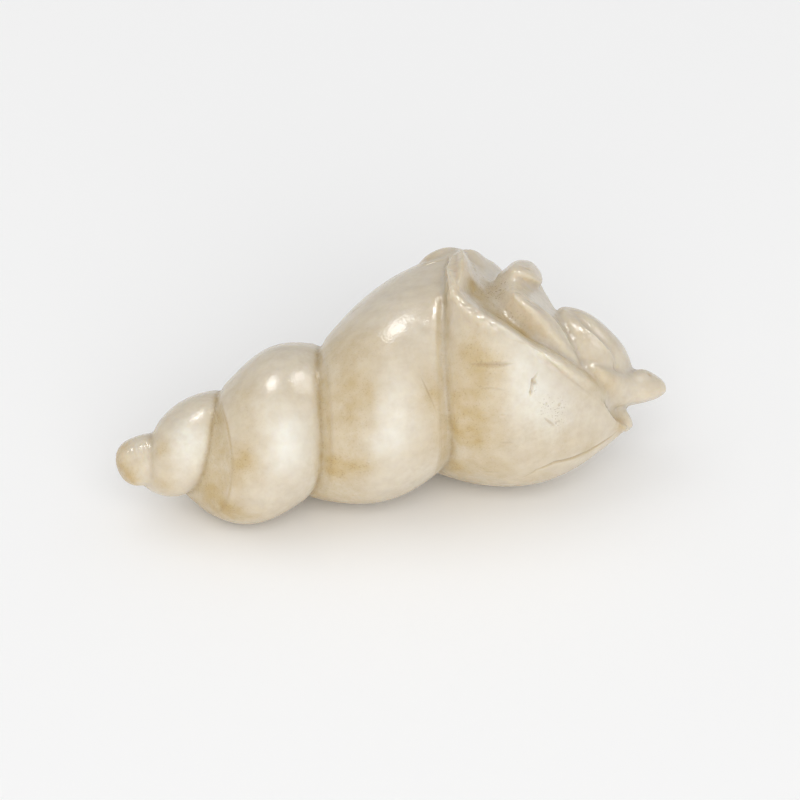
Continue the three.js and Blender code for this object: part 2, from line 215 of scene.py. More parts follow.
def rolledSheet(columns, rows, pointAt):
    # a grid one unit wide, rolled up into a closed form: pointAt takes the shares round and along it
    bm = bmesh.new()
    bmesh.ops.create_grid(bm, x_segments=columns, y_segments=rows, size=0.5)
    for vert in bm.verts:
        column, row = round((vert.co.x + 0.5) * columns), round((vert.co.y + 0.5) * rows)
        vert.co = pointAt(column / columns, row / rows)
    bmesh.ops.remove_doubles(bm, verts=bm.verts, dist=weldDistance)
    bmesh.ops.dissolve_degenerate(bm, edges=bm.edges, dist=weldDistance)
    bmesh.ops.recalc_face_normals(bm, faces=bm.faces)
    return bm


def shellForm():
    whorlRows = coil["whorls"] * coil["rowsPerWhorl"]
    rows = whorlRows + coil["mouthRows"]

    def pointAt(around, along):
        angle = coil["seamAngle"] + 360 * around
        row = round(along * rows)
        if row >= whorlRows:
            return mouthPoint((row - whorlRows) / coil["mouthRows"], angle)
        inWhorl = (row % coil["rowsPerWhorl"]) / coil["rowsPerWhorl"]
        return shellPoint(row // coil["rowsPerWhorl"] + (1 - math.cos(math.pi * inWhorl)) / 2, angle)

    return rolledSheet(coil["columns"], rows, pointAt)


# The animal. A lobe follows three rails of points (along, up, near): its near edge, its ridge and
# its far edge. It is `depth` thick under them, and rounds off at both ends by the powers in `ends`.
lobes = {
    "crest": {
        "near": [
            (19.9, 13.2, -0.5), (18.1, 12.6, 3), (17.1, 11.1, 5.4), (16.5, 9.7, 7.6), (16.2, 8.3, 9.4),
            (16.9, 6.3, 10.6), (18.1, 4.6, 11.4), (19.7, 3.2, 11.7),
        ],
        "ridge": [
            (20.6, 13.4, -0.6), (18.8, 13, 3.2), (17.9, 11.6, 5.8), (17.2, 10.2, 8.2), (16.9, 8.7, 9.9),
            (17.4, 7, 11.2), (18.5, 5.2, 12.1), (19.9, 3.5, 12.1),
        ],
        "far": [
            (21.4, 12.6, -2), (19.8, 12, 1), (18.9, 10.8, 3.6), (18.3, 9.5, 5.8), (18.2, 8.2, 7.6),
            (18.6, 6.8, 9), (19.4, 5.4, 10.2), (20.5, 3.8, 11),
        ],
        "depth": 1.6, "fullness": 1, "underside": 1, "ends": (0.5, 0.4),
    },
    "hollow": {
        "near": [
            (18.6, 10, 5), (18.8, 8, 6.8), (19.8, 5.6, 8.2), (21.4, 3.4, 9), (23.6, 1.4, 8.8),
            (26, -0.8, 7.8),
        ],
        "ridge": [
            (19.9, 10.9, 2.2), (20.7, 9.2, 2.6), (21.7, 7.5, 3.4), (23.2, 5.6, 4.4), (25.2, 3.4, 5),
            (27, 1.2, 5),
        ],
        "far": [
            (20.8, 12.4, -1.2), (22.4, 11.6, -3.6), (23.8, 10.6, -5.4), (25.2, 9.4, -6.4), (27, 7.6, -6.4),
            (28.2, 5, -5),
        ],
        "depth": 3, "fullness": 1.7, "underside": 1, "ends": (0.3, 0.5),
    },
    "foot": {
        "near": [
            (17.6, 4, 8.4), (20.6, 2.6, 10.6), (24, -0.9, 10.6), (26.3, -3.6, 8.8), (29, -6.3, 6.4),
            (31, -9.4, 2.8),
        ],
        "ridge": [
            (20, 4.6, 5.6), (22, 3.2, 7.8), (25, 0.6, 8.2), (27.4, -1.6, 6.6), (30.2, -4.4, 4.6),
            (31.6, -7.8, 1.6),
        ],
        "far": [
            (23, 8, -6.2), (25.8, 4.6, -8.6), (27.6, 0.8, -8.4), (29.2, -2.8, -6.6), (30.8, -5.4, -3.6),
            (31.6, -8, -0.5),
        ],
        "depth": 5, "fullness": 1.1, "underside": 1, "ends": (0.6, 0.6),
    },
    "horn": {
        "near": [
            (24.2, 10.5, 1.8), (23.6, 9.6, 2.8), (22.9, 8.4, 4.6), (22.8, 7.2, 6.4), (23.2, 6, 7.6),
            (24.3, 3.9, 8.6), (26.2, 0.4, 8.8), (28.1, -2.7, 7.2),
        ],
        "ridge": [
            (25.7, 10.3, 1.4), (25, 9.1, 2.8), (24.2, 7.8, 4.8), (24, 6.8, 6.6), (24.6, 5.4, 7.6),
            (26, 3.6, 7.6), (27.1, 0.9, 7.6), (28.1, -2.7, 7),
        ],
        "far": [
            (27.8, 9.7, -1.2), (28, 8.7, -1.6), (27.8, 7.7, -1.6), (27.9, 6.2, -0.8), (28.1, 4.5, 0.6),
            (28.6, 1.7, 2.2), (28.9, -0.3, 3.4), (28.3, -2.7, 6),
        ],
        "depth": 3.5, "fullness": 1.5, "underside": 0.6, "ends": (0.4, 1),
    },
    "knob": {
        "near": [
            (23.4, 9.55, 2.6), (24.1, 9.05, 3.3), (25.4, 8.45, 3.2), (26.6, 7.65, 2.4), (27.3, 7.15, 1.6),
        ],
        "ridge": [
            (23.8, 9.95, 2.2), (24.5, 10.05, 2.8), (25.5, 9.65, 2.8), (26.6, 9.05, 2.2), (27.5, 8.15, 1.2),
        ],
        "far": [
            (24.4, 10.25, 0), (25.2, 10.55, -0.4), (26.2, 10.55, -0.8), (27.3, 10.05, -1), (28.1, 8.65, -1),
        ],
        "depth": 1.8, "fullness": 0.9, "underside": 0.8, "ends": (0.35, 0.35),
    },
    "innerFold": {
        "near": [
            (28.4, 4.7, 0.6), (28, 3.6, 1.8), (28, 1.9, 3.2), (28.1, 0.1, 4.8), (28.3, -1.5, 5.8),
            (28.8, -3.4, 5.8),
        ],
        "ridge": [
            (28.7, 4.3, 2.4), (28.9, 2.7, 4.2), (29.4, 1, 5.2), (29.9, -0.8, 5.8), (30.2, -2.5, 5.8),
            (30.6, -3.8, 5.2),
        ],
        "far": [
            (29.5, 4, 1), (30.2, 2.1, 3), (31.2, 0.1, 3.8), (31.9, -1.8, 4.2), (32, -3, 4.2),
            (31.4, -4, 4.2),
        ],
        "depth": 4, "fullness": 0.9, "underside": 0.6, "ends": (0.4, 0.5),
    },
    "outerFold": {
        "near": [(28.4, 4.3, 1.8), (30, 1.4, 4), (31.4, -1.4, 4.2), (32.2, -4.2, 3.8), (32.8, -6.6, 2.6)],
        "ridge": [(29.1, 5.3, 0), (31.2, 3.5, 0.3), (33.2, 0.4, 0.6), (34.5, -2.2, 0.6), (35, -5.1, 0.6)],
        "far": [(28, 3.8, -3.5), (29.8, 1, -5.6), (31.5, -1.9, -5.4), (32.7, -4.4, -4), (33.3, -6.6, -2)],
        "depth": 3, "fullness": 1.2, "underside": 1, "ends": (0.45, 0.7),
    },
    "head": {
        "near": [
            (27.6, -2.6, 7.4), (29.6, -5.0, 6.2), (31.4, -6.5, 4.4), (33.2, -6.7, 3.2), (35.3, -6.9, 2.8),
            (37.4, -6.9, 1.5),
        ],
        "ridge": [
            (28.0, 0, 5.2), (30.2, -2.2, 5.0), (32.0, -3.6, 3.4), (33.6, -4.2, 1.8), (35.5, -3.9, 0.6),
            (37.3, -4.9, 0.3),
        ],
        "far": [
            (27.0, -3.0, -3.0), (29.5, -5.0, -3.4), (31.4, -6.2, -3.0), (33.2, -6.4, -2.4),
            (35.3, -6.7, -2.2), (37.4, -6.7, -1.2),
        ],
        "depth": 1.1, "fullness": 1, "underside": 1, "ends": (0.5, 0.6),
    },
    "lipTongue": {
        "near": [(29.4, -6.4, 2.0), (31.2, -8.0, 2.4), (32.4, -10.0, 1.8)],
        "ridge": [(30.4, -6.3, 0.2), (32.3, -7.9, 0.4), (33.0, -9.7, 0.6)],
        "far": [(29.4, -6.4, -2.0), (31.2, -8.0, -1.6), (32.4, -10.0, -0.6)],
        "depth": 1.2, "fullness": 1, "underside": 1, "ends": (0.6, 0.5),
    },
    "foldedLip": {
        "near": [
            (14.6, 12.2, -1.2), (16.8, 13.2, -0.9), (19.4, 13.4, -1.4), (21.8, 12.6, -4.2),
            (24.4, 9.4, -7.8), (26.4, 4.8, -9.6), (28.3, -1, -9),
        ],
        "ridge": [
            (14.6, 12.8, -3), (16.6, 13.8, -3.2), (18.4, 13.6, -4.6), (20.4, 11.6, -7.8), (23.2, 7.8, -10),
            (25.6, 3.6, -10.8), (27.8, -1, -9.8),
        ],
        "far": [
            (14.9, 11.4, -5.5), (15.6, 11.4, -6.2), (17, 10.6, -7.2), (19.4, 8.6, -9), (22, 5.4, -10.4),
            (24.6, 2, -10.8), (26.8, -0.8, -9.8),
        ],
        "depth": 1.8, "fullness": 1, "underside": 1, "ends": (0.5, 0.8),
    },
}
lobeSides, lobeSteps = 56, 40
slopeStep = 0.01  # the share of a lobe's length over which its slope is measured


def railPoint(points, share):
    # centripetal Catmull-Rom curve through the rail's points
    position = (len(points) - 1) * share
    i = min(int(position), len(points) - 2)
    t = position - i
    p1, p2 = points[i], points[i + 1]
    p0 = points[i - 1] if i > 0 else p1 * 2 - p2
    p3 = points[i + 2] if i + 2 < len(points) else p2 * 2 - p1
    d0, d1, d2 = (math.sqrt((b - a).length) for a, b in ((p0, p1), (p1, p2), (p2, p3)))
    slope1 = ((p1 - p0) / d0 - (p2 - p0) / (d0 + d1) + (p2 - p1) / d1) * d1
    slope2 = ((p2 - p1) / d1 - (p3 - p1) / (d1 + d2) + (p3 - p2) / d2) * d1
    return (
        p1 * (1 + 2 * t) * (1 - t) ** 2 + p2 * t * t * (3 - 2 * t)
        + slope1 * t * (1 - t) ** 2 - slope2 * t * t * (1 - t)
    )


def lobeForm(lobe):
    rails = [[Vector(point) for point in lobe[name]] for name in ("near", "ridge", "far")]

    def pointAt(around, along):
        latitude = math.pi * along
        share = (1 - math.cos(latitude)) / 2
        nearEdge, crown, farEdge = (railPoint(rail, share) for rail in rails)
        middle = (nearEdge + farEdge) / 2
        step = slopeStep if share < 0.5 else -slopeStep
        ahead = (railPoint(rails[0], share + step) + railPoint(rails[2], share + step)) / 2
        down = ((ahead - middle) / step).cross(nearEdge - farEdge).normalized()
        angle = 2 * math.pi * (around % 1)
        edge = nearEdge if math.cos(angle) > 0 else farEdge
        isUpper = math.sin(angle) > 0
        power = lobe["fullness"] if isUpper else lobe["underside"]
        height = crown - middle if isUpper else down * lobe["depth"]
        offset = (edge - middle) * abs(math.cos(angle)) ** power + height * abs(math.sin(angle)) ** power
        startPower, endPower = lobe["ends"]
        taper = max(0, math.sin(latitude)) ** (startPower + (endPower - startPower) * share)
        return place(*(middle + offset * taper))

    return rolledSheet(lobeSides, lobeSteps, pointAt)


# How the carving is worked over after its forms are joined, in mm
working = {
    "voxel": 0.265,
    "smoothings": 3,
    "smoothFactor": 0.5,
    "pathStep": 0.3,  # how closely a stroke follows the surface
    "strokeTip": 0.03,  # share of a stroke's length that is as narrow as its very end
    "strokeTaper": 0.6,  # how bluntly it narrows, blunter when lower
    "markReach": 1.8,  # how many times its width the finer mesh round a stroke goes
    "widestReach": 0.3,  # but for a wider stroke as for this width
    "markCuts": 2,
    "markSmoothings": 4,
    "undulation": 0.03,  # how far the hand-ground surface wanders
    "undulationSize": 4.5,
    "undulationFractal": (0.6, 2.0, 3),  # roughness, step in size and number of its layers
}

# Places rubbed smoother than the rest: along, up, near, radius, smoothings
softened = [
    (20.6, 9.6, 2.5, 3.2, 24), (20.8, 8.0, 3.0, 3.6, 24), (21.6, 6.6, 4.5, 3.0, 16),
    (31.2, -5.6, 3.6, 1.8, 12), (16.5, 7.4, 10.7, 1.0, 12), (17.3, 6.0, 11.7, 1.0, 12),
    (18.4, 4.7, 12.4, 1.0, 12), (19.4, 3.6, 12.5, 1.0, 10),
]


def rub(bm, verts, times):
    for _ in range(times):
        bmesh.ops.smooth_vert(
            bm, verts=verts, factor=working["smoothFactor"],
            use_axis_x=True, use_axis_y=True, use_axis_z=True,
        )


def joinForms(forms):
    # every form in one mesh, fused by a voxel remesh and rubbed smooth
    joined = bmesh.new()
    for form in forms:
        mesh = bpy.data.meshes.new("form")
        form.to_mesh(mesh)
        form.free()
        joined.from_mesh(mesh)
        bpy.data.meshes.remove(mesh)
    mesh = bpy.data.meshes.new("carvedSnail")
    joined.to_mesh(mesh)
    joined.free()
    blank = bpy.data.objects.new("blank", mesh)
    bpy.context.scene.collection.objects.link(blank)
    remesh = blank.modifiers.new("fuse", "REMESH")
    remesh.mode = "VOXEL"
    remesh.voxel_size = working["voxel"]
    fused = bpy.data.meshes.new_from_object(blank.evaluated_get(bpy.context.evaluated_depsgraph_get()))
    bpy.data.objects.remove(blank)
    bm = bmesh.new()
    bm.from_mesh(fused)
    rubbed = [(bm.verts, working["smoothings"])]
    for along, up, near, radius, smoothings in softened:
        middle = place(along, up, near)
        rubbed.append(([vert for vert in bm.verts if (vert.co - middle).length < radius], smoothings))
    for verts, smoothings in rubbed:
        rub(bm, verts, smoothings)
    return bm


snailMesh = joinForms([shellForm()] + [lobeForm(lobe) for lobe in lobes.values()])
print("forms fused", len(snailMesh.verts), "vertices")

# Carved strokes: each follows points (along, up, near) on the surface, is cut `depth` deep (a ridge
# where it is negative) and fades over `width` to each side.
strokes = {
    "cheekLens": {
        "path": [(16.1, 1.3, 11.3), (18.0, 0.6, 12.2), (20.2, 0.1, 12.5)],
        "width": 0.26, "depth": 0.2, "soil": 0.5,
    },
    "cheekUnder": {
        "path": [(16.3, -1.3, 11.1), (17.4, -1.7, 11.6), (18.6, -2.3, 11.8)],
        "width": 0.12, "depth": 0.08, "soil": 0.4,
    },
    "cheekShort": {
        "path": [(17.7, -4.6, 10.7), (18.2, -4.9, 10.7)],
        "width": 0.12, "depth": 0.08, "soil": 0.4,
    },
    "cheekLow": {"path": [(17.0, -7.4, 8.6), (18.6, -7.9, 8.7)], "width": 0.12, "depth": 0.07, "soil": 0.4},
    "cheekLowest": {
        "path": [(14.9, -9.9, 4.2), (16.9, -10.5, 5.2)],
        "width": 0.12, "depth": 0.07, "soil": 0.4,
    },
    "underLip": {
        "path": [
            (19.0, -11.8, 4.2), (20.6, -11.3, 5.5), (22.5, -11.1, 5.8), (24.6, -11.2, 5.0),
            (26.4, -11.1, 4.4), (28.3, -10.6, 3.9), (29.6, -10.2, 3.5), (30.7, -9.7, 3.4),
        ],
        "width": 0.2, "depth": 0.16, "soil": 0.9,
    },
    "fissure": {
        "path": [(21.1, -3.7, 11.4), (21.5, -2.9, 11.6), (21.8, -2.2, 11.7), (22.6, -1.5, 11.7)],
        "width": 0.16, "depth": 0.28, "soil": 0.9,
    },
    "fissureBranch": {
        "path": [(21.7, -1.9, 11.9), (22.1, -2.7, 11.5)],
        "width": 0.13, "depth": 0.2, "soil": 0.9,
    },
    "veinBelow": {
        "path": [(22.1, -6.2, 10.0), (22.6, -6.8, 9.5), (23.3, -7.5, 8.8)],
        "width": 0.11, "depth": 0.12, "soil": 0.9,
    },
    "hornRidge": {
        "path": [
            (23.6, 7.3, 5.8), (24.3, 6.1, 6.5), (25.5, 4.4, 6.8), (26.5, 2.5, 6.9), (27.3, 0.5, 7.2),
            (27.9, -0.3, 6.0),
        ],
        "width": 0.35, "depth": -0.22,
    },
    "foldRidge": {
        "path": [
            (29.8, 1.7, 4.6), (30.5, 0.8, 5.0), (31.0, 0.0, 5.2), (31.5, -1.1, 5.2), (31.9, -3.0, 3.9),
        ],
        "width": 0.3, "depth": -0.18,
    },
    "knobLine": {
        "path": [(25.0, 9.7, 2.4), (25.6, 9.3, 2.5), (26.5, 8.7, 2.0)],
        "width": 0.12, "depth": 0.08, "soil": 0.2,
    },
    "rimLine": {
        "path": [(18.6, 13.0, -0.4), (17.8, 11.7, 2.1), (17.1, 10.2, 4.6)],
        "width": 0.16, "depth": 0.12, "soil": 0.3,
    },
    "backScratch": {
        "path": [(10.7, 1.6, 10.7), (11.1, -0.5, 10.6), (11.5, -2.9, 9.9)],
        "width": 0.1, "depth": 0.06, "soil": 0.7,
    },
    "lipSeam": {
        "path": [
            (19.6, 3.1, 12.6), (21.0, 2.3, 12.4), (22.5, 1.4, 12.0), (23.8, -0.3, 12.1), (25.4, -2.5, 10.3),
            (27.1, -4.4, 8.8), (28.8, -6.2, 7.0), (30.0, -8.1, 5.3),
        ],
        "width": 0.18, "depth": 0.05, "soil": 0.2,
    },
    "lipRoll": {
        "path": [(16.4, 8.0, 10.3), (17.0, 6.7, 11.3), (18.2, 5.1, 12.2), (19.4, 3.7, 12.5)],
        "width": 0.42, "depth": -0.24,
    },
    "crestBand": {
        "path": [(17.6, 12.4, 3.3), (17.4, 11.1, 6.0), (17.0, 9.4, 9.0)],
        "width": 0.32, "depth": -0.15,
    },
    "flapEdge": {
        "path": [(15.1, 12.8, 0.1), (15.9, 12.8, 0.5), (17.0, 12.8, 0.5), (18.0, 12.7, 0.7)],
        "width": 0.16, "depth": 0.15, "soil": 0.7,
    },
    "topScratch": {
        "path": [(6.1, 9.7, 1.7), (6.9, 10.1, 2.0), (7.8, 10.4, 2.3)],
        "width": 0.1, "depth": 0.05, "soil": 0.5,
    },
}
# Small round pits: (along, up, near, radius, depth)
pits = [
    (20.1, 9.9, -1.8, 0.35, 0.3), (21.0, 10.5, -3.1, 0.3, 0.25), (22.7, 9.5, -5.7, 0.3, 0.25),
    (23.3, 8.4, -6.8, 0.3, 0.2), (21.9, -2.4, 11.6, 0.3, 0.14), (21.3, -3.3, 11.5, 0.22, 0.12),
    (22.7, -5.0, 10.5, 0.14, 0.1), (24.1, -5.4, 9.8, 0.16, 0.1), (35.6, -5.1, 1.5, 0.28, 0.2),
]


def pathDistance(points, path):
    # distance of every point to a path of straight pieces, and how far along the path it lies, from 0 to 1
    best = np.full(len(points), np.inf)
    where = np.zeros(len(points))
    for n, (a, b) in enumerate(zip(path[:-1], path[1:])):
        way = b - a
        share = np.clip(((points - a) @ way) / (way @ way), 0, 1)
        distance = np.linalg.norm(points - a - share[:, None] * way, axis=1)
        nearer = distance < best
        best[nearer] = distance[nearer]
        where[nearer] = (n + share[nearer]) / (len(path) - 1)
    return best, where


def strokeMark(points, path, width):
    # 1 in the middle of a stroke and 0 beside it; a stroke is narrow and shallow at its ends
    distance, where = pathDistance(points, path)
    tip = working["strokeTip"]
    taper = np.sin(math.pi * np.clip(where, tip, 1 - tip)) ** working["strokeTaper"]
    return taper * np.exp(-((distance / (width * taper)) ** 2))


def placed(path):
    return np.array([place(*point) for point in path])


def snapped(path, tree):
    # a finer path that lies on the surface
    fine = []
    for a, b in zip(path[:-1], path[1:]):
        steps = max(2, int(np.linalg.norm(b - a) / working["pathStep"]))
        fine += [a + (b - a) * k / steps for k in range(steps)]
    fine.append(path[-1])
    return np.array([tree.find_nearest(Vector(point))[0] for point in fine])


def cutDepth(points, paths):
    # how deep the strokes and the pits cut at every point, and which points they reach
    cut = np.zeros(len(points))
    reached = np.zeros(len(points), bool)
    for label, stroke in strokes.items():
        cut += stroke["depth"] * strokeMark(points, paths[label], stroke["width"])
        distance = pathDistance(points, paths[label])[0]
        width = min(stroke["width"], working["widestReach"])
        reached |= distance < width * working["markReach"] + working["voxel"]
    for along, up, near, radius, depth in pits:
        distance = np.linalg.norm(points - placed([(along, up, near)])[0], axis=1)
        cut += depth * np.exp(-((distance / radius) ** 2))
        reached |= distance < radius * working["markReach"] + working["voxel"]
    return cut, reached


def carve(bm, paths):
    # the strokes, the pits and the slow waver of a hand-ground surface, on a finer mesh round each mark
    reached = cutDepth(np.array([vert.co for vert in bm.verts]), paths)[1]
    bm.verts.index_update()
    edges = [edge for edge in bm.edges if all(reached[vert.index] for vert in edge.verts)]
    bmesh.ops.subdivide_edges(bm, edges=edges, cuts=working["markCuts"], use_grid_fill=True)
    points = np.array([vert.co for vert in bm.verts])
    reached = cutDepth(points, paths)[1]
    eased = [vert for vert, near in zip(bm.verts, reached) if near]
    rub(bm, eased, working["markSmoothings"])
    bm.normal_update()
    points = np.array([vert.co for vert in bm.verts])
    normals = np.array([vert.normal for vert in bm.verts])
    cut = cutDepth(points, paths)[0]
    waving = [Vector(point / working["undulationSize"]) for point in points]
    waver = np.array([noise.fractal(point, *working["undulationFractal"]) for point in waving])
    moved = points - normals * (cut + working["undulation"] * waver)[:, None]
    moved[:, 2] = np.maximum(moved[:, 2], 0)
    for vert, point in zip(bm.verts, moved):
        vert.co = point


blankTree = BVHTree.FromBMesh(snailMesh)
strokePaths = {label: snapped(placed(stroke["path"]), blankTree) for label, stroke in strokes.items()}
carve(snailMesh, strokePaths)
snailMesh.normal_update()
print("strokes carved,", sum(len(face.verts) - 2 for face in snailMesh.faces), "triangles")

# How closed-in places are found: rays from straight up down to `lowest` (the sine of their height),
# `reach` mm long, that start `lift` mm above the surface
closing = {"reach": 5.0, "rays": 20, "lowest": 0.15, "lift": 0.05}


def crevices(bm):
    # how much of the space over each vertex the carving itself closes off
    tree = BVHTree.FromBMesh(bm)
    golden = math.pi * (3 - math.sqrt(5))
    rays, reach, lowest = closing["rays"], closing["reach"], closing["lowest"]
    ways = []
    for k in range(rays):
        height = lowest + (1 - lowest) * (k + 0.5) / rays
        ring = math.sqrt(1 - height * height)
        ways.append(Vector((ring * math.cos(golden * k), ring * math.sin(golden * k), height)))
    closed = np.zeros(len(bm.verts))
    for n, vert in enumerate(bm.verts):
        turn = vert.normal.to_track_quat("Z", "Y")
        start = vert.co + vert.normal * closing["lift"]
        for way in ways:
            hit = tree.ray_cast(start, turn @ way, reach)
            if hit[3] is not None:
                closed[n] += 1 - hit[3] / reach
    return closed / rays


fineTurns = np.arange(0.1, 4.02, 0.01)


def atTurns(knots, turns, pick=1):
    # a smooth curve through knots [turn, y, ...], read at many turns
    return np.interp(turns, fineTurns, [through(knots, turn, pick) for turn in fineTurns])


def between(knots, values):
    # straight lines through knots [x, y], read at many values
    return np.interp(values, *zip(*knots))


def besideGroove(points):
    # for every point the turn of the nearest groove and the distance from it, counted towards the mouth
    local = (points - np.array(coilAnchor)) @ np.array([alongWay, upWay, nearWay]).T
    share = (np.degrees(np.arctan2(local[:, 2], local[:, 1])) / 360) % 1
    turns = np.zeros(len(points))
    offsets = np.full(len(points), np.inf)
    for whorl in range(1, coil["whorls"]):
        turn = whorl - share
        offset = local[:, 0] - atTurns(coil["grooveAlong"], turn)
        nearer = np.abs(offset) < np.abs(offsets)
        turns[nearer] = turn[nearer]
        offsets[nearer] = offset[nearer]
    return turns, offsets


# Dirt and yellow beside the groove, in mm; its knots are [turn or height, value]
grooveStain = {
    "firstTurn": 0.4,
    "behind": 0.35,  # how far the channel's dirt spreads towards the apex
    "ahead": 0.7,  # and towards the mouth
    "line": 0.17,  # half width of the dark line in the channel
    "ridge": 0.16,  # half width of the line on a scoop's outer edge
    "ridgeStrength": 0.8,
    "scoopStrength": 0.8,
    "deepScoop": 0.3,  # depth from which a scoop is fully dirty
    "leastWidth": 0.1,
    "scoopStart": 0.15,  # how far before the groove a scoop's dirt starts, in shares of its width
    "scoopEnd": 1.1,  # and where it ends
    "scoopFade": 0.2,
    "worn": [[3.7, 1], [3.8, 0.5]],  # the last groove is rubbed cleaner
    "yellow": 0.42,
    "yellowReach": [[0.5, 2.2], [1.5, 3.6], [2.5, 4.8]],
    "yellowHeight": [[7, 1], [14, 0.35]],
}


def groovePaint(points):
    # dirt in the channel and its scoop, how near a point is to a line of the groove, and the yellow
    s = grooveStain
    turns, offsets = besideGroove(points)
    begun = np.clip(turns - s["firstTurn"], 0, 1)
    widths = atTurns(coil["grooveScoop"], turns)
    deep = np.clip(atTurns(coil["grooveScoop"], turns, 2) / s["deepScoop"], 0, 1)
    share = offsets / np.where(np.abs(widths) < s["leastWidth"], s["leastWidth"], widths)
    entered = np.clip((share + s["scoopStart"]) / s["scoopStart"], 0, 1)
    inScoop = entered * np.clip((s["scoopEnd"] - share) / s["scoopFade"], 0, 1) * deep
    channel = np.exp(-((offsets / np.where(offsets < 0, s["behind"], s["ahead"])) ** 2)) * begun
    ridge = np.exp(-(((offsets - widths) / s["ridge"]) ** 2)) * deep
    line = np.exp(-((offsets / s["line"]) ** 2)) * begun
    reach = between(s["yellowReach"], turns)
    yellow = s["yellow"] * np.exp(-((offsets / reach) ** 4)) * (offsets > 0) * begun
    worn = between(s["worn"], turns)
    dirt = np.maximum(inScoop * s["scoopStrength"], channel) * worn
    lines = np.maximum(line, ridge * s["ridgeStrength"]) * worn
    return dirt, lines, yellow * between(s["yellowHeight"], points[:, 2])


def softSpots(points, spots):
    # the sum of soft round spots (along, up, near, radius, strength)
    total = np.zeros(len(points))
    for along, up, near, radius, strength in spots:
        distance = np.linalg.norm(points - placed([(along, up, near)])[0], axis=1)
        total += strength * np.exp(-((distance / radius) ** 2))
    return total


# The underside has taken more colour, from `height` mm down over `fade` mm
underside = {"strength": 0.4, "height": 6.5, "fade": 5}
pitSoil = 0.5


def underStain(points):
    return underside["strength"] * np.clip((underside["height"] - points[:, 2]) / underside["fade"], 0, 1)


def strokeSoil(points):
    # dirt that has settled in the strokes and the pits
    soil = np.zeros(len(points))
    for label, stroke in strokes.items():
        mark = strokeMark(points, strokePaths[label], stroke["width"])
        soil = np.maximum(soil, stroke.get("soil", 0) * mark)
    for along, up, near, radius, _ in pits:
        distance = np.linalg.norm(points - placed([(along, up, near)])[0], axis=1)
        soil = np.maximum(soil, pitSoil * np.exp(-((distance / radius) ** 2)))
    return soil


# Soft round spots, each (along, up, near, radius, strength), from the apex to the mouth.
# Where the surface is finely pitted
pitted = [
    (-22.2, 0.4, 1.0, 1.0, 0.9), (-11.6, -6.4, 3.2, 1.4, 0.5), (20.4, 5.4, 9.0, 1.6, 0.8),
    (20.5, 9.3, 2.8, 2.0, 0.8), (21.0, 7.4, 4.4, 1.8, 0.7), (21.6, -3.0, 11.6, 0.6, 0.6),
    (21.6, 9.0, 1.5, 1.8, 1.0), (22.0, 4.8, 6.8, 1.6, 0.5), (22.0, 8.1, 3.0, 1.6, 1.0),
    (22.0, 3.4, 9.6, 1.6, 0.8), (22.6, -5.2, 10.4, 0.9, 0.9), (23.6, -7.0, 9.0, 0.8, 0.8),
    (23.9, -5.6, 9.7, 1.0, 0.9),
]
# Where the fine lines of the grinding wheel still show
toolMarked = [(-20.0, 1.5, 2.4, 1.4, 0.8), (-18.6, 2.0, 1.8, 1.6, 1.0), (17.2, 9.5, 8.6, 1.6, 0.8)]
# Where the jade is cloudy white, partly real clouds and partly a painted reflection of the broad front
# light on the lower near side of the whorls
cloudsAndSheen = [
    (-13.9, 0.8, 4.8, 2.2, 0.7), (-13.8, 3.0, 4.2, 1.6, 0.3), (-4.6, -3.0, 8.3, 2.2, 0.7),
    (-4.4, 0.1, 8.9, 2.6, 0.8), (-4.4, 3.4, 8.2, 2.2, 0.2), (5.0, -4.7, 9.2, 2.2, 0.3),
    (6.2, -3.1, 9.9, 2.2, 0.65), (7.0, 0.4, 10.5, 2.0, 0.5), (19.8, 2.6, 12.6, 2.0, 0.25),
    (20.2, -2.6, 11.8, 2.0, 0.3), (21.8, -0.9, 12.0, 2.6, 0.7), (22.3, -4.9, 10.6, 2.8, 0.6),
    (23.2, -7.4, 8.8, 2.2, 0.25),
]
